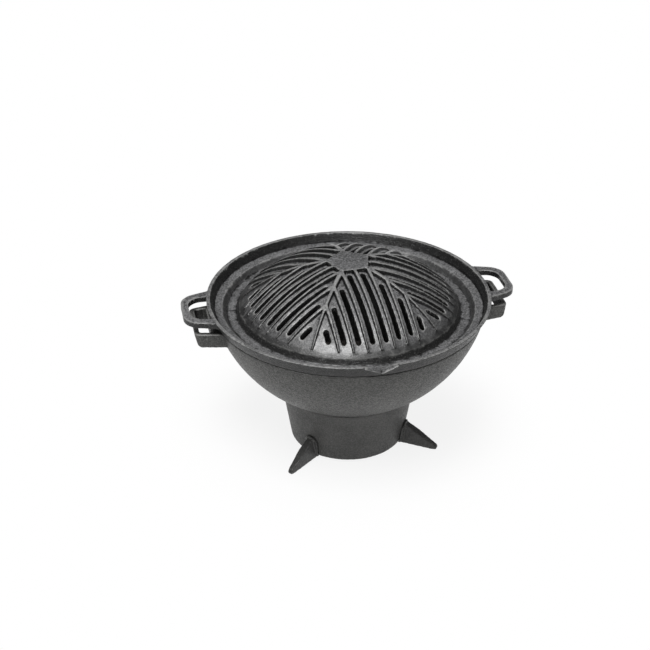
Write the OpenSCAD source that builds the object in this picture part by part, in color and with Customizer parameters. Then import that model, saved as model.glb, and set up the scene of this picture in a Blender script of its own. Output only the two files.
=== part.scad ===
// Cast-iron table brazier: a domed, slotted grill plate on a round fire bowl, an ash pot and three legs.
// Millimetres, +Z up. The origin is on the table under the bowl's axis, handles along X, spout towards -Y.

/* [Grill plate rim] */
// Height of the rim's top edge above the table
rim_h = 162.5; // [140:0.5:200]
// Outer radius of the rim
rim_r = 140; // [125:1:160]
// Height of the outer band, from the seat on the bowl to the rim's top
band_h = 13.4; // [10:0.2:18]
// How far the band leans in towards the bowl
band_lean = 5.6; // [2:0.1:7]
// Bevel under the band, which leaves a groove above the bowl
band_bevel = 1.8; // [0.6:0.1:2.4]
// Height of the bead along the rim's top
bead_h = 1; // [1:0.1:3]
// How far the bead stands out from the band
bead_out = 1.8; // [0.5:0.1:2]
// Width of the flat land on top of the rim
rim_land = 3.2; // [2:0.1:4]
// Bevel on the rim's outer top edge
rim_bevel = 0.3; // [0.3:0.1:0.9]
// Depth of the ledge's outer edge below the rim's top
ledge_depth = 8.8; // [7:0.1:10]
// How far the wall above the ledge slopes inward
ledge_lean = 4.3; // [2:0.1:6]

/* [Fat gutter] */
// Width of the ledge between the rim's wall and the gutter
ledge_w = 7.6; // [4:0.2:9]
// How far the ledge falls towards the gutter
ledge_fall = 1.6; // [0.5:0.1:2]
// Width of the slope from the ledge down to the gutter's floor
gutter_slope_w = 4.6; // [4:0.1:7]
// Width of the gutter's flat floor
gutter_floor_w = 9; // [7:0.1:11]
// Depth of the gutter's floor below the rim's top
gutter_depth = 15.5; // [13:0.1:17]
// Wall under the gutter
gutter_wall = 5; // [4:0.2:8]
// Gap between the trough under the gutter and the bowl's inside
trough_clear = 1.6; // [1:0.1:3]

/* [Dome] */
// Corner radius of the five-sided cap
cap_r = 23; // [18:0.2:26]
// Height of the rib tops at the cap above the rim's top
dome_h = 36; // [28:0.5:42]
// How far the cap stands above the rib tops
cap_rise = 0.3; // [0.3:0.1:2]
// Rib height at the cap
rib_h = 4.4; // [2:0.1:5]
// Rib height where a rib ends
rib_tail_h = 1.6; // [1:0.1:2]
// Distance from the gutter's floor in to the circle where the ribs end
tail_in = 6.8; // [6:0.1:9]
// Depth of the dome's skin below the rim's top where the ribs end
tail_drop = 5.5; // [2:0.1:8]
// Thickness of the dome's shell
dome_wall = 5; // [4:0.2:7]
// Angle below level of the dome's skirt just past the ribs
skirt_angle = 48; // [44:1:52]
// Depth of the skirt's upper part, past which it is steeper
skirt_upper = 4.2; // [3:0.1:5]
// Turn of the slot pattern from the handle line
pattern_turn = 5; // [0:0.5:10]

/* [Slots and ribs] */
// Number of sectors round the dome
sectors = 5; // [5:1:6]
// Slots in each sector
slots_per_sector = 8; // [6:2:8]
// Distance from slot to slot
slot_pitch = 13.06; // [12:0.02:14]
// Width of a slot
slot_w = 5; // [4:0.1:6]
// Distance from the circle where the ribs end in to the slots' lower tips
slot_in = 5.8; // [4:0.1:9]
// Gap, along a slot, from its upper tip to the ridge between two sectors
spine_gap = 11; // [9:0.2:14]
// Gap from the cap to the first slots
cap_gap = 2; // [1:0.1:3]
// Width of a rib at its upper end
rib_w = 3; // [2:0.1:4]
// Width of a ridge between two sectors at its upper end
spine_w = 4.4; // [3:0.1:6]
// Width of a rib or a ridge where it ends
rib_tail_w = 1; // [0.8:0.1:2]

/* [Plate handles] */
// Reach of a handle past the rim
loop_reach = 24.3; // [20:0.1:32]
// Half width of a handle at its round corners
loop_half = 29.5; // [26:0.5:36]
// Corner radius of a handle
loop_corner = 18; // [10:0.5:20]
// Angle by which a handle's sides spread towards the rim
loop_spread = 17; // [0:1:30]
// Width of the bar outside the hand hole
loop_bar = 6.8; // [5:0.1:9]
// Half width of the hand hole
hole_half = 21.6; // [16:0.2:22]
// Corner radius of the hand hole
hole_corner = 14; // [8:0.5:15]
// Thickness of a handle
loop_t = 5.7; // [4:0.1:8]
// Depth of a handle's top below the rim's top
loop_drop = 0.5; // [0.3:0.1:3]

/* [Spout] */
// Half width of the spout's notch at the rim's top
spout_half = 14; // [10:0.5:18]
// Depth of the notch
spout_depth = 5.5; // [4:0.1:6]
// Wall of the lip beside and under the notch
spout_wall = 2; // [1.5:0.1:4]
// How far the lip stands out from the rim
spout_reach = 2.5; // [1:0.1:5]

/* [Fire bowl] */
// How far the plate's band stands out over the bowl's edge
overhang = 0.8; // [0.5:0.1:4]
// Height of the sphere's centre above the rim's top
bowl_up = 20; // [15:0.5:25]
// Wall of the bowl
bowl_wall = 6; // [5:0.2:8]
// Bevel of the bowl's outer top edge, under the plate's band
edge_bevel = 0.8; // [0.4:0.1:2.4]
// Radius of the foot that drops into the pot's mouth
foot_r = 60; // [54:0.5:66]
// Height of the foot's straight side
foot_h = 6.7; // [5:0.1:9]
// Radius of the air opening in the bowl's floor
air_r = 36; // [28:0.5:38]

/* [Bowl handles] */
// Reach of a handle past the plate's rim, at its top
grip_out = 16; // [12:0.5:24]
// Half width of a handle at its round corners
grip_half = 27.5; // [22:0.5:36]
// Angle by which a handle's sides spread towards the bowl
grip_spread = 11; // [0:1:20]
// Height of a handle
grip_h = 14.5; // [12:0.1:20]
// Thickness of a handle's walls
grip_wall = 5.5; // [4:0.1:5.8]
// Corner radius of a handle
grip_corner = 7; // [6:0.5:10]
// Length of the hand hole, from the web on the bowl to the outer wall
grip_hole = 11; // [8:0.5:14]
// Radius of a handle's lower edges
grip_round = 4.5; // [3:0.1:6]
// How far the outer face leans in towards the bottom
grip_lean = 3.5; // [2:0.1:5]
// Gap between the bowl's rim and a handle's top
grip_drop = 0.8; // [0.4:0.1:2]

/* [Ash pot] */
// Wall of the pot's mouth round the bowl's foot
mouth_wall = 5.9; // [4:0.1:8]
// Flare of the pot's wall from upright
pot_flare = 9.6; // [6:0.2:12]
// Height of the pot's bottom edge above the table
pot_lift = 3; // [2:0.1:6]
// Wall of the pot
pot_wall = 5; // [4:0.2:7]
// Inner radius of the flange that carries the bowl
flange_r = 42.5; // [40:0.5:46]
// Thickness of the flange
flange_t = 7; // [5:0.2:9]
// Clearance round the bowl's foot
foot_clear = 0.4; // [0.3:0.05:0.8]
// Direction of the draught opening, counted from +X
draught_turn = 32; // [20:1:45]
// Width of the draught opening
draught_w = 40; // [30:1:46]
// Height of the draught opening
draught_h = 18; // [14:0.5:22]
// Corner radius of the draught opening
draught_corner = 5; // [3:0.5:7]
// Sill between the pot's floor and the draught opening
draught_sill = 5; // [3:0.5:8]

/* [Legs] */
// Reach of a leg's tip from the pot's bottom edge
leg_out = 39.5; // [30:0.5:50]
// Height of a leg's root on the pot, from the pot's bottom edge
leg_root_h = 23; // [21:0.5:30]
// Thickness of a leg at its root
leg_root_t = 12.4; // [11:0.2:16]
// Thickness of a leg at its root's top edge
leg_ridge_t = 6.4; // [5:0.2:8]
// Thickness of a leg at its tip
leg_tip_t = 4.4; // [3:0.2:6]
// Height of a leg's blunt tip
leg_tip_h = 4.6; // [3:0.2:6]
// Bevel of a leg's blunt tip
leg_tip_bevel = 1.2; // [0.6:0.1:2]
// Length of the flat sole under a leg's tip
leg_sole = 8; // [6:0.5:12]
// Width of the collar at a leg's root
collar_w = 14.4; // [13:0.2:18]
// Thickness of the collar
collar_t = 2.4; // [1.5:0.1:4]
// Height of the collar above the leg's root
collar_up = 1; // [0.5:0.1:3]
// Turn of the legs from the spout's line
leg_turn = 5; // [0:0.5:10]
// Angle between the spout side's middle and each front leg
leg_spread = 53.3; // [45:0.1:60]

/* [Charcoal grate] */
// Radius of the grate
grate_r = 62; // [56:0.5:70]
// Thickness of the grate
grate_t = 6; // [5:0.2:8]
// Gap between the grate's edge and the bowl
grate_clear = 0.3; // [0.3:0.05:0.6]
// Width of the grate's slots
grate_slot_w = 7; // [5:0.2:8]
// Distance from grate slot to grate slot
grate_pitch = 13; // [12:0.2:15]
// Width of the ring and the middle bar round the slots
grate_ring = 8; // [6:0.2:10]

/* [Fasteners] */
// Shank radius of every screw
screw_r = 3; // [2.5:0.1:3]
// Clearance round a shank in a through hole
hole_clear = 0.4; // [0.3:0.05:0.5]
// Clearance round a shank in a leg's threaded hole
thread_clear = 0.05; // [0.02:0.01:0.1]
// Head radius of a screw
head_r = 5; // [4.5:0.1:5.5]
// Head height of a screw
head_h = 4; // [3:0.1:4.5]
// Width of the driver slot in a head
driver_w = 1.4; // [1:0.1:2]
// Depth of the driver slot in a head
driver_d = 1.6; // [1:0.1:2]
// Outer radius of a washer
washer_r = 6; // [5.6:0.1:6.2]
// Thickness of a washer
washer_t = 1.6; // [1:0.1:2]
// Corner radius of a nut
nut_r = 5.77; // [5.4:0.01:6]
// Height of a nut
nut_h = 5; // [4:0.1:6]
// Thread standing out below a nut
thread_out = 2; // [1:0.1:4]
// Number of screws that tie the bowl to the pot
bowl_screw_count = 3; // [3:1:4]
// Height of the leg screws above the pot's floor
leg_screw_up = 7; // [6.6:0.1:8]
// Depth of a leg screw in its leg
leg_screw_depth = 11; // [9:0.5:12]
// Flat of a spot face round a bowl screw's head
spot_margin = 2.5; // [1.5:0.1:3]
// Radius of the flat boss under a leg screw's washer
boss_r = 7; // [6.6:0.1:8]
// How far the boss stands in from the pot's wall
boss_in = 3; // [2.4:0.1:4]

/* [Hidden] */
$fn = 96;
// Overshoot of a cut past the face it goes through
cut = 1;
// Longer than the whole brazier
far = 400;
sector_angle = 360 / sectors;
half_sector = sector_angle / 2;
seat_z = rim_h - band_h;
band_r = rim_r - band_lean;
ledge_z = rim_h - ledge_depth;
land_r = rim_r - rim_bevel - rim_land;
ledge_r = land_r - ledge_lean;
gutter_z = rim_h - gutter_depth;
gutter_edge_r = ledge_r - ledge_w;
gutter_out_r = gutter_edge_r - gutter_slope_w;
gutter_in_r = gutter_out_r - gutter_floor_w;
bowl_c = rim_h + bowl_up;
bowl_r = norm([band_r - overhang, bowl_c - seat_z]);
bowl_in = bowl_r - bowl_wall;
edge_r = band_r - overhang - edge_bevel;
trough_z = gutter_z - gutter_wall;
trough_r = reach(bowl_in, bowl_c - trough_z) - trough_clear;
trough_top_r = reach(bowl_in, bowl_c - seat_z) - trough_clear;
trough_in_r = gutter_in_r - dome_wall;
crest_z = rim_h + dome_h;
tail_r = gutter_in_r - tail_in;
tail_z = rim_h - tail_drop;
skirt_z = tail_z - skirt_upper;
skirt_r = tail_r + skirt_upper / tan(skirt_angle);
shell_c = sphere_c(cap_r, crest_z - rib_h, tail_r, tail_z);
shell_r = norm([tail_r, tail_z - shell_c]);
crest_c = sphere_c(cap_r, crest_z, tail_r, tail_z + rib_tail_h);
crest_r = norm([cap_r, crest_z - crest_c]);
// How deep a rib is rooted in the shell
rib_root = dome_wall / 2;
slot_end_r = tail_r - slot_in - slot_w / 2;
cap_edge = cap_r * cos(half_sector);
slot_first = cap_edge + cap_gap + slot_w / 2;
loop_z = rim_h - loop_drop - loop_t;
loop_x = rim_r + loop_reach;
foot_z = bowl_c - reach(bowl_r, foot_r) - foot_h;
grip_x = rim_r + grip_out;
grip_top = seat_z - grip_drop;
grip_z = grip_top - grip_h;
grip_hole_x = grip_x - grip_wall;
grip_angle = atan(grip_lean / grip_h);
// Centre of the round lower edge of a bowl handle's outer face
grip_round_z = grip_z + grip_round;
grip_round_x = grip_x - (grip_h - grip_round) * tan(grip_angle) - grip_round / cos(grip_angle);
flange_z = foot_z - flange_t;
slope = tan(pot_flare);
mouth_r = foot_r + foot_clear;
pot_r = mouth_r + mouth_wall - (foot_z - pot_lift) * slope;
pot_floor = pot_lift + pot_wall;
// The wall runs on up inside the bowl's sphere, which trims it to the bowl
pot_top = (foot_z + seat_z) / 2;
screw_ring = (flange_r + pot_at(flange_z) - pot_wall) / 2;
spot_r = head_r + spot_margin;
spot_z = bowl_c - reach(bowl_in, screw_ring - spot_r);
leg_reach = pot_r + leg_out;
leg_root_r = pot_r - pot_wall;
leg_top = pot_lift + leg_root_h;
leg_angles = [-90 + leg_turn - leg_spread, -90 + leg_turn + leg_spread, 90 + leg_turn];
leg_screw_z = pot_floor + leg_screw_up;
leg_screw_end = pot_at(leg_screw_z) + leg_screw_depth;
boss_x = pot_at(leg_screw_z) - pot_wall - boss_in;
grate_z = bowl_c - reach(bowl_in - grate_clear, grate_r);
grate_rows = floor((grate_r - grate_ring - grate_slot_w / 2) / grate_pitch);

// Height of the centre of a sphere on the axis that passes through two points
function sphere_c(r1, z1, r2, z2) = (r1 * r1 - r2 * r2 + z1 * z1 - z2 * z2) / (2 * (z1 - z2));

// Outer radius of the pot at a height
function pot_at(z) = pot_r + (z - pot_lift) * slope;

// Distance of a slot from its sector's middle line
function slot_at(i) = (i - (slots_per_sector - 1) / 2) * slot_pitch;

// Distance from the axis, along the sector, of the round end at a slot's top
function slot_top(t) = max(slot_first, abs(t) / tan(half_sector) + spine_gap + slot_w / 2);

// Distance along a line to a circle, the line passing the circle's centre at an offset
function reach(r, t) = sqrt(r * r - t * t);

// Places its children once in every sector, the first sector facing -Y
module each_sector() {
    for (k = [0 : sectors - 1]) {
        rotate(pattern_turn + k * sector_angle) children();
    }
}

// Plan of one slot, where the sector is wide enough for it
module slot_plan(t) {
    top = slot_top(t);
    low = reach(slot_end_r, t);
    if (low > top) {
        translate([t, -top]) circle(d = slot_w);
        translate([t, -low]) circle(d = slot_w);
        translate([t - slot_w / 2, -low]) square([slot_w, low - top]);
    }
}

// Plan of one rib along -Y, narrowing from a start to the circle where it ends
module rib_plan(t, start, width) {
    low = reach(tail_r, t);
    polygon([
        [t - width / 2, -start],
        [t + width / 2, -start],
        [t + rib_tail_w / 2, -low],
        [t - rib_tail_w / 2, -low]
    ]);
}

// Plan of all slots
module slots_plan() {
    each_sector() {
        for (i = [0 : slots_per_sector - 1]) {
            slot_plan(slot_at(i));
        }
    }
}

// Plan of the ribs between the slots and the ridges between the sectors
module ribs_plan() {
    intersection() {
        circle(r = tail_r);
        each_sector() {
            rotate(half_sector) rib_plan(0, cap_r - spine_w, spine_w);
            for (i = [0 : slots_per_sector - 2]) {
                t = slot_at(i) + slot_pitch / 2;
                rib_plan(t, max(cap_edge - rib_w, abs(t) / tan(half_sector)), rib_w);
            }
        }
    }
}

// Ribs that get lower towards the dome's skirt
module ribs() {
    difference() {
        intersection() {
            translate([0, 0, crest_c]) sphere(r = crest_r);
            translate([0, 0, ledge_z]) linear_extrude(height = crest_z - ledge_z) ribs_plan();
        }
        translate([0, 0, shell_c]) sphere(r = shell_r - rib_root);
    }
}

// Section of the rim, ledge and gutter, its inner end rooted in the dome's skirt
module rim_section() {
    polygon([
        [trough_in_r, trough_z],
        [trough_r, trough_z],
        [trough_top_r, seat_z],
        [band_r - band_bevel, seat_z],
        [band_r, seat_z + band_bevel],
        [rim_r - bead_out, rim_h - bead_h],
        [rim_r, rim_h - bead_h],
        [rim_r, rim_h - rim_bevel],
        [rim_r - rim_bevel, rim_h],
        [land_r, rim_h],
        [ledge_r, ledge_z],
        [gutter_edge_r, ledge_z - ledge_fall],
        [gutter_out_r, gutter_z],
        [gutter_in_r - dome_wall / 2, gutter_z],
        [trough_in_r, (skirt_z + gutter_z) / 2]
    ]);
}

// Section of the space inside the skirt, which gets steeper and runs on under the gutter's floor
module skirt_section() {
    low_r = gutter_in_r + cut * (gutter_in_r - skirt_r) / (skirt_z - gutter_z);
    polygon([
        [0, gutter_z - cut],
        [low_r, gutter_z - cut],
        [skirt_r, skirt_z],
        [tail_r - (crest_z - tail_z) / tan(skirt_angle), crest_z],
        [0, crest_z]
    ]);
}

// Smooth shell of the dome, down to its skirt's foot
module dome_shell() {
    intersection() {
        difference() {
            translate([0, 0, shell_c]) sphere(r = shell_r);
            translate([0, 0, shell_c]) sphere(r = shell_r - dome_wall);
        }
        rotate_extrude() skirt_section();
    }
}

// Plan of a handle or its hole on the +X side: a straight end, round corners and sides that spread inward
module handle_plan(end, half, corner, spread) {
    corner_x = end - corner;
    corner_y = half - corner;
    side_x = corner_x + corner * sin(spread);
    side_y = corner_y + corner * cos(spread);
    root_y = side_y + side_x * tan(spread);
    polygon([
        [0, -root_y],
        [side_x, -side_y],
        [end, -corner_y],
        [end, corner_y],
        [side_x, side_y],
        [0, root_y]
    ]);
    translate([corner_x, -corner_y]) circle(r = corner);
    translate([corner_x, corner_y]) circle(r = corner);
}

// Flat loop handle on the +X side
module plate_loop() {
    translate([0, 0, loop_z]) linear_extrude(height = loop_t) difference() {
        handle_plan(loop_x, loop_half, loop_corner, loop_spread);
        handle_plan(loop_x - loop_bar, hole_half, hole_corner, 0);
        circle(r = land_r);
    }
}

// Triangle of the spout's notch seen from the front, grown by a wall and running on above the rim's top
module spout_plan(wall) {
    depth = spout_depth + wall;
    half = spout_half + wall;
    polygon([[-2 * half, rim_h + depth], [0, rim_h - depth], [2 * half, rim_h + depth]]);
}

// Lip under the notch, before the notch is cut
module spout_lip() {
    intersection() {
        rotate([90, 0, 0]) linear_extrude(height = rim_r + spout_reach) spout_plan(spout_wall);
        difference() {
            translate([0, 0, ledge_z]) cylinder(r = rim_r + spout_reach, h = rim_h - ledge_z);
            translate([0, 0, ledge_z - cut]) cylinder(r = land_r, h = rim_h - ledge_z + 2 * cut);
        }
    }
}

module grill_plate() {
    color([0.11, 0.11, 0.11]) difference() {
        union() {
            rotate_extrude() rim_section();
            dome_shell();
            ribs();
            translate([0, 0, crest_z - rib_h]) rotate(pattern_turn - 90 + half_sector)
                cylinder(r = cap_r, h = rib_h + cap_rise, $fn = sectors);
            plate_loop();
            rotate(180) plate_loop();
            spout_lip();
        }
        translate([0, 0, trough_z]) linear_extrude(height = far) slots_plan();
        translate([0, -ledge_r, 0]) rotate([90, 0, 0]) linear_extrude(height = far) spout_plan(0);
    }
}

// Plan of a bowl handle's hand hole on the +X side
module grip_hole_plan() {
    difference() {
        handle_plan(grip_hole_x, grip_half - grip_wall, grip_corner - grip_wall, grip_spread);
        translate([0, -far / 2]) square([grip_hole_x - grip_hole, far]);
    }
}

// Side view of a bowl handle: its outer face leans in to a round lower edge
module grip_side() {
    polygon([
        [foot_r, grip_z],
        [grip_round_x, grip_z],
        [grip_round_x + grip_round * cos(grip_angle), grip_round_z - grip_round * sin(grip_angle)],
        [grip_x, grip_top],
        [foot_r, grip_top]
    ]);
    translate([grip_round_x, grip_round_z]) circle(r = grip_round);
}

// Deep loop handle on the +X side
module bowl_grip() {
    difference() {
        intersection() {
            translate([0, 0, grip_z]) linear_extrude(height = grip_h)
                handle_plan(grip_x, grip_half, grip_corner, grip_spread);
            rotate([90, 0, 0]) linear_extrude(height = far, center = true) grip_side();
        }
        translate([0, 0, grip_z - cut]) linear_extrude(height = grip_h + 2 * cut) grip_hole_plan();
    }
}

module fire_bowl() {
    color([0.14, 0.14, 0.13]) difference() {
        union() {
            intersection() {
                translate([0, 0, bowl_c]) sphere(r = bowl_r);
                translate([0, 0, foot_z])
                    cylinder(r1 = edge_r + seat_z - foot_z, r2 = edge_r, h = seat_z - foot_z);
            }
            translate([0, 0, foot_z]) cylinder(r = foot_r, h = foot_h + cut);
            bowl_grip();
            rotate(180) bowl_grip();
        }
        translate([0, 0, bowl_c]) sphere(r = bowl_in);
        translate([0, 0, foot_z - cut]) cylinder(r = air_r, h = far);
        each_bowl_screw() {
            translate([0, 0, foot_z - cut]) cylinder(r = screw_r + hole_clear, h = far);
            translate([0, 0, spot_z]) cylinder(r = spot_r, h = far);
        }
    }
}

// Places its children at every screw between the bowl and the pot
module each_bowl_screw() {
    for (k = [0 : bowl_screw_count - 1]) {
        rotate(90 + leg_turn + (k + 0.5) * 360 / bowl_screw_count) translate([screw_ring, 0, 0]) children();
    }
}

module charcoal_grate() {
    color([0.16, 0.15, 0.15]) translate([0, 0, grate_z]) difference() {
        cylinder(r = grate_r, h = grate_t);
        translate([0, 0, -cut]) linear_extrude(height = grate_t + 2 * cut) {
            for (i = [-grate_rows : grate_rows]) {
                grate_slot(i * grate_pitch);
                mirror([0, 1]) grate_slot(i * grate_pitch);
            }
        }
    }
}

// Plan of one slot of the grate, on the +Y side of the middle bar
module grate_slot(t) {
    low = (grate_ring + grate_slot_w) / 2;
    top = reach(grate_r - grate_ring - grate_slot_w / 2, t);
    translate([t, low]) circle(d = grate_slot_w);
    translate([t, top]) circle(d = grate_slot_w);
    translate([t - grate_slot_w / 2, low]) square([grate_slot_w, top - low]);
}

// Solid inside the pot's outer face, from below the table to well above the legs
module pot_envelope(grow) {
    low = -leg_top;
    high = 2 * leg_top;
    rotate_extrude() polygon([
        [0, low],
        [pot_at(low) + grow, low],
        [pot_at(high) + grow, high],
        [0, high]
    ]);
}

// Plan of the draught opening, seen along the wall's normal
module draught_plan() {
    side = draught_w / 2 - draught_corner;
    high = draught_h - 2 * draught_corner;
    translate([-draught_w / 2, draught_corner]) square([draught_w, high]);
    translate([-side, 0]) square([2 * side, draught_h]);
    for (x = [-side, side]) {
        translate([x, draught_corner]) circle(r = draught_corner);
        translate([x, draught_corner + high]) circle(r = draught_corner);
    }
}

module ash_pot() {
    color([0.13, 0.13, 0.13]) difference() {
        union() {
            rotate_extrude() polygon([
                [0, pot_lift],
                [pot_r, pot_lift],
                [pot_at(pot_top), pot_top],
                [mouth_r, pot_top],
                [mouth_r, foot_z],
                [flange_r, foot_z],
                [flange_r, flange_z],
                [pot_at(flange_z) - pot_wall, flange_z],
                [pot_at(pot_floor) - pot_wall, pot_floor],
                [0, pot_floor]
            ]);
            each_leg_screw() cylinder(r = boss_r, h = boss_in + pot_wall / 2);
        }
        translate([0, 0, bowl_c]) sphere(r = bowl_r + foot_clear);
        each_leg_screw() translate([0, 0, -cut])
            cylinder(r = screw_r + hole_clear, h = leg_screw_end - boss_x);
        each_bowl_screw() translate([0, 0, flange_z - cut])
            cylinder(r = screw_r + hole_clear, h = flange_t + 2 * cut);
        rotate(draught_turn) translate([0, 0, pot_floor + draught_sill]) rotate([90, 0, 90])
            linear_extrude(height = far) draught_plan();
    }
}

// Places its children at every leg screw, their Z axis pointing outward from the boss's flat face
module each_leg_screw() {
    for (a = leg_angles) {
        rotate(a) translate([boss_x, 0, leg_screw_z]) rotate([0, 90, 0]) children();
    }
}

// Side view of a leg along +X
module leg_side() {
    polygon([
        [leg_root_r, pot_lift],
        [pot_r, pot_lift],
        [leg_reach - leg_sole, 0],
        [leg_reach - leg_tip_bevel, 0],
        [leg_reach, leg_tip_h / 2],
        [leg_reach - leg_tip_bevel, leg_tip_h],
        [pot_at(leg_top), leg_top],
        [leg_root_r, leg_top]
    ]);
}

// Top view of a leg along +X
module leg_plan() {
    polygon([
        [leg_root_r, -leg_root_t / 2],
        [pot_r, -leg_root_t / 2],
        [leg_reach, -leg_tip_t / 2],
        [leg_reach, leg_tip_t / 2],
        [pot_r, leg_root_t / 2],
        [leg_root_r, leg_root_t / 2]
    ]);
}

// End view of a leg, narrower towards its top edge
module leg_end() {
    polygon([
        [-leg_root_t / 2, 0],
        [leg_root_t / 2, 0],
        [leg_ridge_t / 2, leg_top],
        [-leg_ridge_t / 2, leg_top]
    ]);
}

// Collar seen along the leg: straight sides and a round top
module collar_plan() {
    straight = leg_root_h + collar_up - collar_w / 2;
    translate([-collar_w / 2, 0]) square([collar_w, straight]);
    translate([0, straight]) circle(d = collar_w);
}

// One leg along +X: a tapered fin with a rounded collar against the pot
module leg() {
    difference() {
        union() {
            intersection() {
                rotate([90, 0, 0]) linear_extrude(height = 2 * leg_root_t, center = true) leg_side();
                linear_extrude(height = leg_top) leg_plan();
                rotate([90, 0, 90]) linear_extrude(height = leg_reach) leg_end();
            }
            intersection() {
                pot_envelope(collar_t);
                translate([leg_root_r, 0, pot_lift]) rotate([90, 0, 90])
                    linear_extrude(height = leg_out) collar_plan();
            }
        }
        pot_envelope(0);
        translate([0, 0, leg_screw_z]) rotate([0, 90, 0])
            cylinder(r = screw_r + thread_clear, h = leg_screw_end + cut);
    }
}

module leg_left() {
    color([0.12, 0.12, 0.12]) rotate(leg_angles[0]) leg();
}

module leg_right() {
    color([0.12, 0.12, 0.12]) rotate(leg_angles[1]) leg();
}

module leg_back() {
    color([0.12, 0.12, 0.12]) rotate(leg_angles[2]) leg();
}

// Slotted cheese-head screw with its head's seat at zero and its shank along -Z
module screw(length) {
    translate([0, 0, -length]) cylinder(r = screw_r, h = length + cut);
    difference() {
        cylinder(r = head_r, h = head_h);
        translate([-head_r - cut, -driver_w / 2, head_h - driver_d])
            cube([2 * (head_r + cut), driver_w, driver_d + cut]);
    }
}

// Flat washer from zero to its thickness
module washer() {
    difference() {
        cylinder(r = washer_r, h = washer_t);
        translate([0, 0, -cut]) cylinder(r = screw_r + hole_clear, h = washer_t + 2 * cut);
    }
}

module bowl_screws() {
    color([0.35, 0.35, 0.36]) each_bowl_screw() translate([0, 0, spot_z])
        screw(spot_z - flange_z + washer_t + nut_h + thread_out);
}

module bowl_washers() {
    color([0.4, 0.4, 0.41]) each_bowl_screw() translate([0, 0, flange_z - washer_t]) washer();
}

module bowl_nuts() {
    color([0.38, 0.38, 0.39]) each_bowl_screw() translate([0, 0, flange_z - washer_t - nut_h]) difference() {
        cylinder(r = nut_r, h = nut_h, $fn = 6);
        translate([0, 0, -cut]) cylinder(r = screw_r + thread_clear, h = nut_h + 2 * cut);
    }
}

module leg_screws() {
    color([0.35, 0.35, 0.36]) each_leg_screw() translate([0, 0, -washer_t]) rotate([180, 0, 0])
        screw(leg_screw_end - boss_x + washer_t);
}

module leg_washers() {
    color([0.4, 0.4, 0.41]) each_leg_screw() translate([0, 0, -washer_t]) washer();
}

grill_plate();
fire_bowl();
charcoal_grate();
ash_pot();
leg_left();
leg_right();
leg_back();
bowl_screws();
bowl_washers();
bowl_nuts();
leg_screws();
leg_washers();
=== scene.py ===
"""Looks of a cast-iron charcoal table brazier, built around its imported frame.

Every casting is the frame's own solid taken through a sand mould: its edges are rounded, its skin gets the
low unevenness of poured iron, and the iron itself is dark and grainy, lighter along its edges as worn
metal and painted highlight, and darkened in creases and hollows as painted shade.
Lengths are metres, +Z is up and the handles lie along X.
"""

import logging
import math
from dataclasses import dataclass
from enum import Enum
from functools import cache
from typing import Any, Optional, Union

import bmesh
import bpy
import numpy as np
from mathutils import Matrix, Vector, noise


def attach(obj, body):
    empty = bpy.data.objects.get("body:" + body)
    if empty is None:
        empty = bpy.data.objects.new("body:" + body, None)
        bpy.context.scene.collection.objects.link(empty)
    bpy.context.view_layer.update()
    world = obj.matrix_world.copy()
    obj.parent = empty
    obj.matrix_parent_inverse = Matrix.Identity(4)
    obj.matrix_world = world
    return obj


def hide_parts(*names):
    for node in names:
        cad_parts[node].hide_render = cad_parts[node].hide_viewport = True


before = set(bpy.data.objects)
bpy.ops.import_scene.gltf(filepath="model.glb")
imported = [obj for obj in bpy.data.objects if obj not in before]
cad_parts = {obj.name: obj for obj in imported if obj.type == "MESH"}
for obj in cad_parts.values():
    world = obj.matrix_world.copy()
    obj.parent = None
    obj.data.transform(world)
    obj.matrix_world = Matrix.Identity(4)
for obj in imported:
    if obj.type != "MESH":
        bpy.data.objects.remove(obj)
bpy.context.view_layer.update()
MM = 0.001
log = logging.getLogger("brazier")

Colour = tuple[float, float, float]
Span = tuple[float, float]
Number = Union[int, float]


class Slot(Enum):
    """Material slots of the record."""

    PLATE = "plate_iron"
    BOWL = "bowl_iron"
    GRATE = "grate_iron"
    POT = "pot_iron"
    LEG = "leg_iron"
    FASTENER = "fastener_steel"


class Body(Enum):
    """Bodies of the frame that pieces ride on."""

    BASE = "base"
    PLATE = "plate"
    GRATE = "grate"


class Value:
    """A shader socket that takes part in Python arithmetic."""

    def __init__(self, graph: "Graph", socket: bpy.types.NodeSocket) -> None:
        """Keeps the socket and the graph that it belongs to."""
        self.graph = graph
        self.socket = socket

    def _math(self, operation: str, *values: Union["Value", Number]) -> "Value":
        """Adds one Math node over the given values.

        Args:
            operation: the node's operation.
            values: its inputs, in order.

        Returns:
            The node's result.
        """
        inputs = dict(enumerate(values))
        return self.graph.node("ShaderNodeMath", {"operation": operation}, inputs)

    def __add__(self, other: Union["Value", Number]) -> "Value":
        """Sum of two values."""
        return self._math("ADD", self, other)

    def __radd__(self, other: Number) -> "Value":
        """Sum of a number and this value."""
        return self._math("ADD", other, self)

    def __sub__(self, other: Union["Value", Number]) -> "Value":
        """Difference of two values."""
        return self._math("SUBTRACT", self, other)

    def __rsub__(self, other: Number) -> "Value":
        """Difference of a number and this value."""
        return self._math("SUBTRACT", other, self)

    def __mul__(self, other: Union["Value", Number]) -> "Value":
        """Product of two values."""
        return self._math("MULTIPLY", self, other)

    def __rmul__(self, other: Number) -> "Value":
        """Product of a number and this value."""
        return self._math("MULTIPLY", other, self)

    def ramp(self, low: float, high: float) -> "Value":
        """Smooth step of this value.

        Args:
            low: value at which the step starts, giving 0.
            high: value at which the step ends, giving 1.

        Returns:
            The stepped value, from 0 to 1.
        """
        settings = {"interpolation_type": "SMOOTHSTEP"}
        inputs = {"Value": self, "From Min": low, "From Max": high}
        return self.graph.node("ShaderNodeMapRange", settings, inputs)


Input = Union[Value, Number, tuple[float, ...]]


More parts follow.
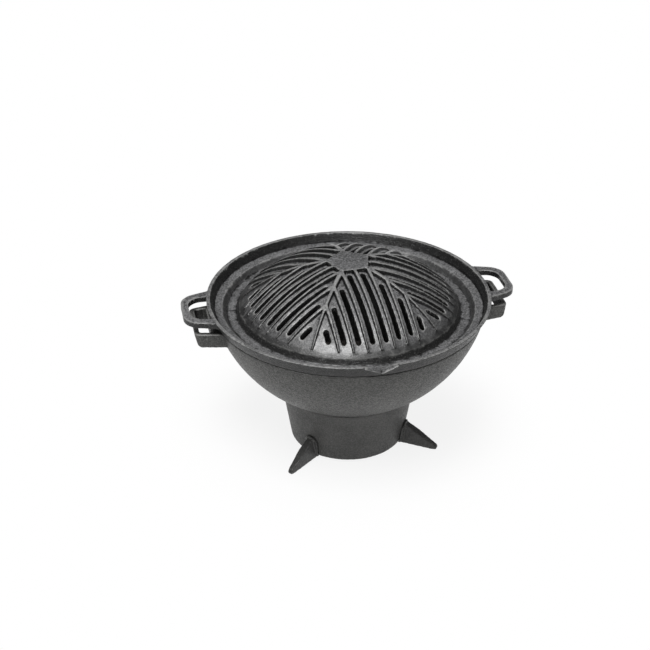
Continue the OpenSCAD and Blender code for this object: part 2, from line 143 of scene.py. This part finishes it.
class Graph:
    """Node tree of a material or a world, written as expressions."""

    def __init__(self, owner: Union[bpy.types.Material, bpy.types.World]) -> None:
        """Starts an empty node tree on its owner."""
        owner.use_nodes = True
        self.owner = owner
        self.tree = owner.node_tree
        self.tree.nodes.clear()

    @classmethod
    def material(cls, name: str) -> "Graph":
        """Starts a new material of that name."""
        return cls(bpy.data.materials.new(name))

    def node(
        self,
        kind: str,
        settings: Optional[dict[str, Any]] = None,
        inputs: Optional[dict[Union[str, int], Input]] = None,
        output: Union[str, int] = 0,
    ) -> Value:
        """Adds one node.

        Args:
            kind: Blender's type name of the node.
            settings: the node's own properties, set before its sockets.
            inputs: numbers, colours or values for its sockets, by name or place.
            output: the output that is handed back.

        Returns:
            The chosen output as a value.
        """
        made = self.tree.nodes.new(kind)
        for key, setting in (settings or {}).items():
            setattr(made, key, setting)
        for key, given in (inputs or {}).items():
            socket = self._socket(made.inputs, key)
            if isinstance(given, Value):
                self.tree.links.new(given.socket, socket)
            else:
                socket.default_value = given
        return Value(self, self._socket(made.outputs, output))

    @staticmethod
    def _socket(sockets: Any, key: Union[str, int]) -> bpy.types.NodeSocket:
        """Finds a socket.

        Args:
            sockets: the sockets of one side of a node.
            key: the socket's place, its identifier or its name.

        Returns:
            The socket.
        """
        if isinstance(key, int):
            return sockets[key]
        return next((socket for socket in sockets if socket.identifier == key), None) or sockets[key]

    def grain(self, scale: float, detail: float = 2.0, roughness: float = 0.5) -> Value:
        """Noise on Object coordinates.

        Args:
            scale: bumps to the metre.
            detail: octaves of finer noise.
            roughness: weight of the finer octaves.

        Returns:
            The noise, around 0.5.
        """
        place = self.node("ShaderNodeTexCoord", output="Object")
        inputs = {"Vector": place, "Scale": scale, "Detail": detail, "Roughness": roughness}
        return self.node("ShaderNodeTexNoise", {"noise_dimensions": "3D"}, inputs)

    def attribute(self, name: str) -> Value:
        """Number that a mesh keeps at its vertices under a name."""
        settings = {"attribute_type": "GEOMETRY", "attribute_name": name}
        return self.node("ShaderNodeAttribute", settings, output="Fac")

    def mix(self, share: Value, first: Union[Colour, Value], second: Union[Colour, Value]) -> Value:
        """Blend of two colours.

        Args:
            share: part of the second colour, from 0 to 1.
            first: colour at 0.
            second: colour at 1.

        Returns:
            The blended colour.
        """
        ends = [colour if isinstance(colour, Value) else (*colour, 1.0) for colour in (first, second)]
        inputs = {"Factor_Float": share, "A_Color": ends[0], "B_Color": ends[1]}
        return self.node("ShaderNodeMix", {"data_type": "RGBA"}, inputs, "Result_Color")

    def seen(self) -> Value:
        """Tells what is looked at from what only lights.

        Returns:
            1 for rays that come from the camera, a reflection or glass, and 0 for others.
        """
        unseen: Union[Value, Number] = 1.0
        for ray in ("Is Camera Ray", "Is Glossy Ray", "Is Transmission Ray"):
            unseen = unseen * (1.0 - self.node("ShaderNodeLightPath", output=ray))
        return 1.0 - unseen

    def surface(self, shader: Value) -> Any:
        """Ends the graph in its owner's output.

        Args:
            shader: the finished shader.

        Returns:
            The material or world that owns the graph.
        """
        is_world = isinstance(self.owner, bpy.types.World)
        end = self.tree.nodes.new("ShaderNodeOutputWorld" if is_world else "ShaderNodeOutputMaterial")
        self.tree.links.new(shader.socket, end.inputs["Surface"])
        return self.owner


def vertices(mesh: bpy.types.Mesh) -> tuple[np.ndarray, np.ndarray]:
    """Reads the vertices of a mesh.

    Args:
        mesh: the mesh.

    Returns:
        Their places and their normals, a row each.
    """
    places = np.empty((len(mesh.vertices), 3), np.float32)
    normals = np.empty_like(places)
    mesh.vertices.foreach_get("co", places.ravel())
    mesh.vertices.foreach_get("normal", normals.ravel())
    return places, normals


def keep_share(mesh: bpy.types.Mesh, name: str, share: np.ndarray) -> None:
    """Keeps a number from 0 to 1 at each vertex of a mesh.

    Args:
        mesh: the mesh.
        name: name under which its materials find the number.
        share: the number at each vertex, cut off below 0 and above 1.
    """
    kept = mesh.attributes.new(name, "FLOAT", "POINT")
    kept.data.foreach_set("value", np.clip(share, 0.0, 1.0).astype(np.float32))


@dataclass(frozen=True)
class Relief:
    """Edges and hollows of a skin, found against the same skin flattened.

    Attributes:
        raised: name under which each vertex keeps its share of edge, from 0 to 1.
        sunk: name under which each vertex keeps its share of hollow, from 0 to 1.
        passes: passes that flatten the skin, more for broader forms.
        height: height above or below the flattened skin that counts as full.
        side_wear_and_highlight: share of an upright edge lightened as worn metal and painted highlight,
            from 0 to 1.
        up_wear_and_highlight: what facing up adds to that share; edges that face up are worn and lit more.
    """

    raised: str
    sunk: str
    passes: int
    height: float
    side_wear_and_highlight: float = 0.4
    up_wear_and_highlight: float = 1.2

    def mark(self, mesh: bpy.types.Mesh) -> None:
        """Keeps the shares of edge and hollow at each vertex; an edge that faces down gets neither wear
        nor painted highlight.

        Args:
            mesh: the mesh of the skin.
        """
        places, normals = vertices(mesh)
        heights = ((places - self._flattened(mesh, places)) * normals).sum(axis=1) / self.height
        # Edges that face up are lightened more: worn metal and painted highlight.
        worn_and_highlit = np.clip(self.side_wear_and_highlight + self.up_wear_and_highlight * normals[:, 2], 0.0, 1.0)
        keep_share(mesh, self.raised, heights * worn_and_highlit)
        keep_share(mesh, self.sunk, -heights)

    def _flattened(self, mesh: bpy.types.Mesh, places: np.ndarray) -> np.ndarray:
        """Moves each vertex towards its neighbours, pass by pass.

        Args:
            mesh: the mesh of the skin.
            places: the places of its vertices, a row each.

        Returns:
            The places that the vertices come to.
        """
        count = len(places)
        ends = np.empty((len(mesh.edges), 2), np.int32)
        mesh.edges.foreach_get("vertices", ends.ravel())
        first, second = ends.T
        near = np.maximum(np.bincount(ends.ravel(), minlength=count), 1)
        flat = places.astype(np.float64)
        for _ in range(self.passes):
            for axis in range(3):
                along = flat[:, axis]
                total = np.bincount(first, along[second], count) + np.bincount(second, along[first], count)
                flat[:, axis] = 0.5 * (along + total / near)
        return flat


# Fine edges and broad raised forms are lightened as worn metal and painted highlight; creases and hollows
# are darkened as painted shade.
FINE = Relief("worn_and_highlit_edge", "shaded_crease", passes=6, height=0.55 * MM)
BROAD = Relief("raised_form", "shaded_hollow", passes=30, height=1.8 * MM)


@dataclass(frozen=True)
class Facing:
    """How far a skin faces up, and how far it faces the fire.

    Attributes:
        up: name under which each vertex keeps how far it faces up, from 0 to 1.
        fire: name under which each vertex keeps how far it faces the fire, from 0 to 1.
        heart: middle of the fire.
    """

    up: str
    fire: str
    heart: tuple[float, float, float]

    def mark(self, mesh: bpy.types.Mesh) -> None:
        """Keeps both shares at each vertex.

        Args:
            mesh: the mesh of the skin.
        """
        places, normals = vertices(mesh)
        rays = np.array(self.heart) - places
        rays /= np.linalg.norm(rays, axis=1)[:, None]
        keep_share(mesh, self.up, normals[:, 2])
        keep_share(mesh, self.fire, (rays * normals).sum(axis=1))


FACING = Facing("facing_up", "facing_fire", heart=(0.0, 0.0, 118.0 * MM))


@dataclass(frozen=True)
class WeatherAndPaintedLight:
    """How sand, worn edges, oil, sooting from the fire, and painted light and shade show on every
    cast-iron skin.

    A step is the pair of values between which something goes from none to full.

    Attributes:
        patch_scale: pale patches to the metre.
        sand_scale: sand grains to the metre.
        speck_scale: bright specks to the metre.
        patch_step: step of the pale patches.
        grain_step: step of the grains' tops.
        speck_step: step of the specks.
        speck_share: how much of a speck is bare iron.
        speck_height: height of a speck as a share of a grain's.
        plain_bump: strength of the relief on a skin without sand.
        sandy_bump: what full sandiness adds to it.
        rub_and_highlight_step: step of the edges lightened as worn metal and painted highlight.
        rub_and_highlight_form: weight of broad raised forms in that lightening.
        rub_and_highlight_grain: weight of single grains in that lightening.
        rub_polish: how much smoother a lightened edge is.
        grain_polish: how much smoother a grain's top is than the dips round it.
        crease_step: step of the painted shade in creases.
        crease_shade: most painted shade in a crease.
        hollow_step: step of the painted shade in hollows.
        hollow_shade: most painted shade in a hollow.
        unshaded_up_step: step of facing up at which a hollow is lit and loses its painted shade.
        top_lit_step: step of facing up at which the painted light from above shows.
        oily: step of facing up at which oil stays.
        burnt: step of facing the fire at which soot settles.
        soot_and_shade_roughness: roughness of the soot and of the painted shade.
    """

    patch_scale: float = 26.0
    sand_scale: float = 620.0
    speck_scale: float = 1000.0
    patch_step: Span = (0.35, 0.7)
    grain_step: Span = (0.38, 0.64)
    speck_step: Span = (0.6, 0.74)
    # speck_share: how much of a speck takes the pale worn colour.
    speck_share: float = 0.3
    speck_height: float = 0.4
    plain_bump: float = 0.35
    sandy_bump: float = 0.6
    # Edges lightened as worn metal and painted highlight.
    rub_and_highlight_step: Span = (0.3, 1.0)
    rub_and_highlight_form: float = 0.3
    rub_and_highlight_grain: float = 0.2
    rub_polish: float = 0.1
    grain_polish: float = 0.2
    # Painted shade in creases and hollows, which stops where a hollow faces up.
    crease_step: Span = (0.22, 0.8)
    crease_shade: float = 0.85
    hollow_step: Span = (0.4, 1.0)
    hollow_shade: float = 0.9
    unshaded_up_step: Span = (0.6, 0.9)
    # Painted light from above on what faces up.
    top_lit_step: Span = (0.6, 0.97)
    oily: Span = (0.45, 0.75)
    burnt: Span = (0.0, 0.5)
    soot_and_shade_roughness: float = 0.9


WEATHER_AND_PAINTED_LIGHT = WeatherAndPaintedLight()


@dataclass(frozen=True)
class CastIron:
    """Bare sand-cast iron: a dark skin with a sandy grain, lighter along its edges as worn metal and
    painted highlight.

    Attributes:
        name: name of the material.
        skin: colour of the iron's dark skin.
        haze: lighter colour of the sand grains' tops and of broad pale patches; on what faces up it also
            stands for painted light.
        bare_and_highlight: colour of worn metal, painted along edges also as highlight.
        soot_and_shade: colour of painted shade in creases and hollows, and of soot where the iron faces
            the fire.
        wear_and_highlight: how far the edges are lightened as worn metal and painted highlight, from 0 to
            1.
        sandiness: how strongly single grains stand out, from 0 to 1.
        top_light: how far the haze keeps to what faces up, as painted light from above, from 0 to 1.
        grain_height: height of the sandy grain in metres.
        roughness: roughness of the skin between the grains.
        specular: strength of the skin's reflection.
        fire_soot: how far soot covers what faces the fire, from 0 to 1.
        oil: how far baked-on oil covers what faces up, from 0 to 1.
        oil_roughness: roughness of the oil's skin.
        oil_ior: index of refraction of the oil's skin.
    """

    name: str
    skin: Colour = (0.014, 0.014, 0.014)
    haze: Colour = (0.085, 0.085, 0.087)
    # The bare colour is painted along edges both as worn metal and as highlight.
    bare_and_highlight: Colour = (0.340, 0.340, 0.332)
    # The soot colour is painted shade in creases and hollows, and soot where the iron faces the fire.
    soot_and_shade: Colour = (0.005, 0.005, 0.005)
    wear_and_highlight: float = 0.5
    sandiness: float = 0.8
    # The next setting paints what faces up paler, as light from above.
    top_light: float = 0.0
    grain_height: float = 0.6 * MM
    roughness: float = 0.42
    specular: float = 0.5
    fire_soot: float = 0.0
    oil: float = 0.0
    oil_roughness: float = 0.38
    oil_ior: float = 1.6

    @cache
    def material(self) -> bpy.types.Material:
        """Builds the material, once for all the pieces that use it.

        Returns:
            The material.
        """
        graph = Graph.material(self.name)
        iron = self._iron(graph)
        # Dark shader without reflection: painted shade in creases and hollows, and soot where the iron
        # faces the fire.
        soot_and_shade = graph.node(
            "ShaderNodeBsdfPrincipled",
            None,
            {
                "Base Color": (*self.soot_and_shade, 1.0),
                "Roughness": WEATHER_AND_PAINTED_LIGHT.soot_and_shade_roughness,
                "Specular IOR Level": 0.0,
            },
        )
        inputs = {0: self._soot_and_shade_share(graph), 1: iron, 2: soot_and_shade}
        return graph.surface(graph.node("ShaderNodeMixShader", None, inputs))

    def _iron(self, graph: Graph) -> Value:
        """Builds the iron itself, without its soot and painted shade.

        Args:
            graph: the material's node tree.

        Returns:
            The iron's shader.
        """
        level = graph.attribute(FACING.up)
        sand = graph.grain(WEATHER_AND_PAINTED_LIGHT.sand_scale, 2.0, 0.6)
        speck = graph.grain(WEATHER_AND_PAINTED_LIGHT.speck_scale, 1.0)
        grains = sand.ramp(*WEATHER_AND_PAINTED_LIGHT.grain_step)
        patches = graph.grain(WEATHER_AND_PAINTED_LIGHT.patch_scale, 3.0).ramp(*WEATHER_AND_PAINTED_LIGHT.patch_step)
        tops = patches * (1.0 - self.sandiness) + grains * self.sandiness
        # Paler where the skin faces up: painted light from above.
        tops = tops * (1.0 - self.top_light + level.ramp(*WEATHER_AND_PAINTED_LIGHT.top_lit_step) * self.top_light)
        specks = speck.ramp(*WEATHER_AND_PAINTED_LIGHT.speck_step) * (WEATHER_AND_PAINTED_LIGHT.speck_share * self.sandiness)
        # Edges and raised forms lightened towards the bare colour: worn metal and painted highlight.
        edge = graph.attribute(FINE.raised) + graph.attribute(BROAD.raised) * WEATHER_AND_PAINTED_LIGHT.rub_and_highlight_form
        rubbed_and_highlit = (edge + (sand - 0.5) * WEATHER_AND_PAINTED_LIGHT.rub_and_highlight_grain).ramp(*WEATHER_AND_PAINTED_LIGHT.rub_and_highlight_step) * self.wear_and_highlight
        colour = graph.mix(tops, self.skin, self.haze)
        colour = graph.mix(specks, colour, self.bare_and_highlight)
        colour = graph.mix(rubbed_and_highlit, colour, self.bare_and_highlight)
        bump = graph.node(
            "ShaderNodeBump",
            None,
            {
                "Strength": WEATHER_AND_PAINTED_LIGHT.plain_bump + WEATHER_AND_PAINTED_LIGHT.sandy_bump * self.sandiness,
                "Distance": self.grain_height,
                "Height": sand + speck * WEATHER_AND_PAINTED_LIGHT.speck_height,
            },
        )
        dips = (0.5 - grains) * WEATHER_AND_PAINTED_LIGHT.grain_polish
        return graph.node(
            "ShaderNodeBsdfPrincipled",
            None,
            {
                "Base Color": colour,
                "Roughness": self.roughness + dips - rubbed_and_highlit * WEATHER_AND_PAINTED_LIGHT.rub_polish,
                "Specular IOR Level": self.specular,
                "Coat Weight": level.ramp(*WEATHER_AND_PAINTED_LIGHT.oily) * self.oil,
                "Coat Roughness": self.oil_roughness,
                "Coat IOR": self.oil_ior,
                "Normal": bump,
            },
        )

    def _soot_and_shade_share(self, graph: Graph) -> Value:
        """Finds where the iron is darkened: painted shade in creases and in hollows that don't face up,
        and soot towards the fire.

        Args:
            graph: the material's node tree.

        Returns:
            The share of painted shade and soot, from 0 to 1.
        """
        # Creases, and hollows that don't face up, are darkened as painted shade; only what faces the fire
        # gets soot.
        crease = graph.attribute(FINE.sunk).ramp(*WEATHER_AND_PAINTED_LIGHT.crease_step)
        shade_kept = 1.0 - graph.attribute(FACING.up).ramp(*WEATHER_AND_PAINTED_LIGHT.unshaded_up_step)
        hollow = graph.attribute(BROAD.sunk).ramp(*WEATHER_AND_PAINTED_LIGHT.hollow_step) * shade_kept
        burnt = graph.attribute(FACING.fire).ramp(*WEATHER_AND_PAINTED_LIGHT.burnt) * self.fire_soot
        unshaded = (1.0 - crease * WEATHER_AND_PAINTED_LIGHT.crease_shade) * (1.0 - hollow * WEATHER_AND_PAINTED_LIGHT.hollow_shade)
        return 1.0 - unshaded * (1.0 - burnt)


@dataclass(frozen=True)
class DullSteel:
    """Zinc-plated steel of the screws, gone dull with heat.

    Attributes:
        name: name of the material.
        plated: colour of the plating.
        stained: colour where heat has stained it.
        stain_scale: stains to the metre.
        stain_step: values of the noise between which a stain goes from none to full.
        pit_scale: fine pits to the metre.
        pit_depth: depth of the pits.
        pit_bump: strength of the pits' relief.
        metallic: how far the plating is still metal.
        roughness: roughness of the plating.
        stain_roughness: what a stain adds to it.
        pit_roughness: what a pit adds to it.
    """

    name: str
    plated: Colour = (0.33, 0.33, 0.34)
    stained: Colour = (0.16, 0.14, 0.12)
    stain_scale: float = 180.0
    stain_step: Span = (0.4, 0.68)
    pit_scale: float = 1400.0
    pit_depth: float = 0.05 * MM
    pit_bump: float = 0.2
    metallic: float = 0.9
    roughness: float = 0.32
    stain_roughness: float = 0.25
    pit_roughness: float = 0.15

    def material(self) -> bpy.types.Material:
        """Builds the material.

        Returns:
            The material.
        """
        graph = Graph.material(self.name)
        stain = graph.grain(self.stain_scale, 3.0).ramp(*self.stain_step)
        pits = graph.grain(self.pit_scale, 2.0)
        relief = {"Strength": self.pit_bump, "Distance": self.pit_depth, "Height": pits}
        spread = stain * self.stain_roughness + (pits - 0.5) * self.pit_roughness
        shader = graph.node(
            "ShaderNodeBsdfPrincipled",
            None,
            {
                "Base Color": graph.mix(stain, self.plated, self.stained),
                "Metallic": self.metallic,
                "Roughness": self.roughness + spread,
                "Normal": graph.node("ShaderNodeBump", None, relief),
            },
        )
        return graph.surface(shader)


@dataclass(frozen=True)
class Unevenness:
    """Low waves in a poured skin, all over or in a round patch.

    Attributes:
        height: height of the waves.
        wave: length of the waves.
        centre: middle of the patch.
        radius: radius of the patch, past which there are no waves.
        ripples: ripples to a wave, on top of it.
        ripple_height: height of a ripple as a share of a wave's.
    """

    height: float = 0.12 * MM
    wave: float = 7.0 * MM
    centre: tuple[float, float, float] = (0.0, 0.0, 0.0)
    radius: float = math.inf
    ripples: float = 2.3
    ripple_height: float = 0.5

    def swell(self, places: np.ndarray) -> np.ndarray:
        """Height of the skin at some places.

        Args:
            places: the places, a row each.

        Returns:
            How far the skin stands out at each place.
        """
        swell = np.zeros(len(places))
        inside = np.linalg.norm(places - np.array(self.centre), axis=1) < self.radius
        points = [Vector(at) for at in places[inside] / self.wave]
        swell[inside] = [
            noise.noise(at) + self.ripple_height * noise.noise(at * self.ripples) for at in points
        ]
        return swell * self.height


@dataclass
class Casting:
    """One iron casting: the frame's solid with rounded edges and an uneven poured skin.

    Attributes:
        node: the frame's node that the casting stands for.
        body: the body it rides on.
        slot: the record's material slot; not used.
        finish: the iron it is made of.
        voxel: size of the mesh's cells, which sets how far the edges are rounded.
        rounds: passes that round the edges.
        skin: the unevenness of the poured skin, all over and in patches.
        triangles: most triangles in the finished mesh.
        weld: distance within which corners of the solid's faces are one.
        rounding: how far each pass rounds, from 0 to 1.
    """

    node: str
    body: Body
    slot: Slot
    finish: CastIron
    voxel: float = 1.2 * MM
    rounds: int = 3
    skin: tuple[Unevenness, ...] = (Unevenness(),)
    triangles: int = 190_000
    weld: float = 0.001 * MM
    rounding: float = 0.5

    def build(self) -> bpy.types.Object:
        """Makes the casting, dresses it and sets it in the frame's place.

        Returns:
            The finished piece.
        """
        piece = self._poured()
        self._roughen(piece)
        self._thin(piece)
        for marks in (FINE, BROAD, FACING):
            marks.mark(piece.data)
        piece.data.materials.clear()
        piece.data.materials.append(self.finish.material())
        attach(piece, self.body.value)
        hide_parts(self.node)
        log.info("%s: %d faces", piece.name, len(piece.data.polygons))
        return piece

    def _poured(self) -> bpy.types.Object:
        """Copies the frame's solid and rounds its edges.

        Returns:
            The copy, with its place in its mesh.
        """
        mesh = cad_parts[self.node].data.copy()
        work = bmesh.new()
        work.from_mesh(mesh)
        bmesh.ops.remove_doubles(work, verts=work.verts, dist=self.weld)
        work.to_mesh(mesh)
        work.free()
        piece = bpy.data.objects.new(f"{self.node}_casting", mesh)
        bpy.context.scene.collection.objects.link(piece)
        grid = piece.modifiers.new("mould sand", "REMESH")
        grid.mode = "VOXEL"
        grid.voxel_size = self.voxel
        grid.use_smooth_shade = True
        rounded = piece.modifiers.new("poured edges", "SMOOTH")
        rounded.factor = self.rounding
        rounded.iterations = self.rounds
        self._apply(piece)
        return piece

    def _thin(self, piece: bpy.types.Object) -> None:
        """Takes faces away where the skin needs few, down to the casting's limit.

        Args:
            piece: the casting.
        """
        count = len(piece.data.loops) - 2 * len(piece.data.polygons)
        if count > self.triangles:
            thinned = piece.modifiers.new("even faces", "DECIMATE")
            thinned.ratio = self.triangles / count
            self._apply(piece)

    @staticmethod
    def _apply(piece: bpy.types.Object) -> None:
        """Makes a piece's modifiers part of its mesh.

        Args:
            piece: the piece.
        """
        evaluated = piece.evaluated_get(bpy.context.evaluated_depsgraph_get())
        mesh = bpy.data.meshes.new_from_object(evaluated)
        piece.modifiers.clear()
        piece.data = mesh

    def _roughen(self, piece: bpy.types.Object) -> None:
        """Gives the skin the low waves of a sand mould.

        Args:
            piece: the casting.
        """
        places, normals = vertices(piece.data)
        swell = sum(uneven.swell(places) for uneven in self.skin)
        places = places + normals * swell[:, None]
        piece.data.vertices.foreach_set("co", places.astype(np.float32).ravel())
        piece.data.update()


@dataclass
class Fasteners:
    """Screws, washers and nuts, which keep the frame's own solids.

    Attributes:
        finish: the steel they are made of.
        nodes: the frame's nodes.
    """

    finish: DullSteel
    nodes: tuple[str, ...] = ("bowl_screws", "bowl_washers", "bowl_nuts", "leg_screws", "leg_washers")

    def build(self) -> None:
        """Dresses every fastener."""
        steel = self.finish.material()
        for name in self.nodes:
            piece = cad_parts[name]
            piece.data.materials.clear()
            piece.data.materials.append(steel)
            log.info("%s: dressed", name)


@dataclass
class Camera:
    """Camera at the photograph's place.

    Attributes:
        distance: from the eye to the middle of the plate's rim.
        elevation: angle of the view above the table, in degrees.
        azimuth: direction of the eye round the brazier from +X, in degrees.
        rim_height: height of the plate's rim above the table.
        focal: focal length in pixels of the image.
        image: width and height of the image in pixels.
        rim_right: distance of the rim's middle right of the image's middle, in pixels.
        rim_above: distance of the rim's middle above the image's middle, in pixels.
        sensor: width of the sensor in millimetres.
    """

    distance: float = 1.3
    elevation: float = 28.7
    azimuth: float = -102.5
    rim_height: float = 162.5 * MM
    focal: float = 1320.7
    image: int = 650
    rim_right: float = 23.4
    rim_above: float = 31.8
    sensor: float = 36.0

    def build(self) -> bpy.types.Object:
        """Sets the camera up as the scene's own.

        Returns:
            The camera.
        """
        tilt, turn = math.radians(self.elevation), math.radians(self.azimuth)
        level = math.cos(tilt)
        out = Vector((level * math.cos(turn), level * math.sin(turn), math.sin(tilt)))
        rim = Vector((0.0, 0.0, self.rim_height))
        right = Vector((0.0, 0.0, 1.0)).cross(out).normalized()
        up = out.cross(right)
        step = self.distance / self.focal
        aim = rim - right * (self.rim_right * step) - up * (self.rim_above * step)
        eye = rim + out * self.distance
        data = bpy.data.cameras.new("camera")
        data.sensor_width = self.sensor
        data.lens = self.focal * self.sensor / self.image
        camera = bpy.data.objects.new("camera", data)
        camera.location = eye
        camera.rotation_euler = (aim - eye).to_track_quat("-Z", "Y").to_euler()
        bpy.context.scene.collection.objects.link(camera)
        bpy.context.scene.camera = camera
        return camera


@dataclass(frozen=True)
class Lamp:
    """One soft lamp.

    Attributes:
        name: name of the lamp.
        place: where it stands.
        size: width of its square face.
        power: its power in watts.
    """

    name: str
    place: tuple[float, float, float]
    size: float
    power: float

    def build(self, target: Vector) -> None:
        """Hangs the lamp.

        Args:
            target: the place that it faces.
        """
        data = bpy.data.lights.new(self.name, "AREA")
        data.size = self.size
        data.energy = self.power
        lamp = bpy.data.objects.new(self.name, data)
        lamp.location = self.place
        lamp.rotation_euler = (target - lamp.location).to_track_quat("-Z", "Y").to_euler()
        bpy.context.scene.collection.objects.link(lamp)


@dataclass
class Studio:
    """Pale floor, light from above and soft lamps.

    Attributes:
        floor_radius: radius of the round floor.
        shadow_radius: radius within which the floor shows shadow.
        fade: width over which the floor turns plain white.
        glow: share of plain white over the shadow, which softens it.
        paper: colour of the floor.
        fibre_scale: fibres of the paper to the metre.
        fibre_step: values of the noise between which a fibre goes from none to full.
        fibre_shade: how bright a fibre is beside the paper.
        roughness: roughness of the paper.
        fill: strength of the surrounding light near the horizon.
        sky: strength of the light from above, over the surrounding light.
        sky_step: heights, on a ball of radius 1, between which the sky goes from none to full.
        target: the place that the lamps face.
        lamps: the soft lamps.
    """

    floor_radius: float = 40.0
    shadow_radius: float = 0.10
    fade: float = 0.12
    glow: float = 0.86
    paper: Colour = (0.93, 0.93, 0.93)
    fibre_scale: float = 900.0
    fibre_step: Span = (0.2, 0.8)
    fibre_shade: float = 0.99
    roughness: float = 0.9
    fill: float = 0.05
    sky: float = 0.5
    sky_step: Span = (0.3, 0.85)
    target: tuple[float, float, float] = (0.0, 0.0, 0.1)
    lamps: tuple[Lamp, ...] = (Lamp("key", place=(-0.30, -0.54, 1.32), size=0.6, power=17.0),)

    def build(self) -> None:
        """Builds the floor, the surroundings and the lamps."""
        self._floor()
        self._surroundings()
        for lamp in self.lamps:
            lamp.build(Vector(self.target))
        bpy.context.scene.view_settings.view_transform = "Standard"

    def _floor(self) -> None:
        """Lays the round floor under the legs."""
        work = bmesh.new()
        bmesh.ops.create_circle(work, cap_ends=True, radius=self.floor_radius, segments=96)
        mesh = bpy.data.meshes.new("floor")
        work.to_mesh(mesh)
        work.free()
        floor = bpy.data.objects.new("floor", mesh)
        bpy.context.scene.collection.objects.link(floor)
        mesh.materials.append(self._paper())

    def _paper(self) -> bpy.types.Material:
        """Builds white paper that keeps the shadow near the brazier and is plain white further out.

        Returns:
            The material.
        """
        graph = Graph.material("studio_paper")
        place = graph.node("ShaderNodeTexCoord", output="Object")
        reach = graph.node("ShaderNodeVectorMath", {"operation": "LENGTH"}, {0: place}, "Value")
        far = reach.ramp(self.shadow_radius, self.shadow_radius + self.fade)
        plain = (self.glow + far * (1.0 - self.glow)) * graph.seen()
        fibre = graph.grain(self.fibre_scale, 2.0).ramp(*self.fibre_step)
        tone = graph.mix(fibre, self.paper, tuple(self.fibre_shade * part for part in self.paper))
        inputs = {"Base Color": tone, "Roughness": self.roughness}
        sheet = graph.node("ShaderNodeBsdfPrincipled", None, inputs)
        white = graph.node("ShaderNodeEmission", None, {"Strength": 1.0})
        return graph.surface(graph.node("ShaderNodeMixShader", None, {0: plain, 1: sheet, 2: white}))

    def _surroundings(self) -> None:
        """Builds a broad white light from above that fades towards the horizon."""
        world = bpy.data.worlds.new("studio")
        bpy.context.scene.world = world
        graph = Graph(world)
        white = (1.0, 1.0, 1.0, 1.0)
        way = graph.node("ShaderNodeTexCoord", output="Object")
        height = graph.node("ShaderNodeSeparateXYZ", None, {"Vector": way}, "Z")
        strength = self.fill + height.ramp(*self.sky_step) * self.sky
        graph.surface(graph.node("ShaderNodeBackground", None, {"Color": white, "Strength": strength}))


def castings() -> list[Casting]:
    """Sets up the brazier's iron castings.

    Returns:
        The castings, from the plate down.
    """
    plate = CastIron(
        "plate_iron_seasoned",
        skin=(0.010, 0.010, 0.010),
        haze=(0.190, 0.190, 0.195),
        wear_and_highlight=0.5,
        # The plate's up-facing skin is painted paler, as light from above.
        top_light=1.0,
        roughness=0.40,
        specular=0.4,
        oil=1.0,
    )
    cap = Unevenness(height=0.45 * MM, wave=3.2 * MM, centre=(0.0, 0.0, 198.8 * MM), radius=22.0 * MM)
    bowl = CastIron(
        "bowl_iron_sand_cast",
        skin=(0.021, 0.021, 0.020),
        haze=(0.066, 0.066, 0.061),
        sandiness=0.7,
        roughness=0.48,
        fire_soot=0.8,
    )
    grate = CastIron(
        "grate_iron_burnt",
        skin=(0.045, 0.040, 0.036),
        haze=(0.110, 0.098, 0.088),
        roughness=0.7,
    )
    pot = CastIron(
        "pot_iron_sand_cast",
        skin=(0.040, 0.040, 0.038),
        haze=(0.080, 0.079, 0.076),
        sandiness=0.35,
        roughness=0.55,
    )
    leg = CastIron(
        "leg_iron_sand_cast",
        skin=(0.026, 0.026, 0.025),
        haze=(0.066, 0.065, 0.062),
        sandiness=0.4,
    )
    legs = [
        Casting(name, Body.BASE, Slot.LEG, leg, voxel=0.7 * MM, rounds=4)
        for name in ("leg_left", "leg_right", "leg_back")
    ]
    return [
        Casting(
            "grill_plate",
            Body.PLATE,
            Slot.PLATE,
            plate,
            voxel=0.58 * MM,
            rounds=1,
            skin=(Unevenness(), cap),
        ),
        Casting("fire_bowl", Body.BASE, Slot.BOWL, bowl, voxel=1.1 * MM, rounds=3),
        Casting("charcoal_grate", Body.GRATE, Slot.GRATE, grate, voxel=1.0 * MM, rounds=3),
        Casting("ash_pot", Body.BASE, Slot.POT, pot, voxel=1.2 * MM, rounds=3),
        *legs,
    ]


def main() -> None:
    """Builds the castings, the fasteners, the studio and the camera."""
    logging.basicConfig(level=logging.INFO, format="%(name)s: %(message)s")
    for casting in castings():
        casting.build()
    Fasteners(DullSteel("screw_steel_dulled")).build()
    Studio().build()
    Camera().build()


if __name__ == "__main__":
    main()
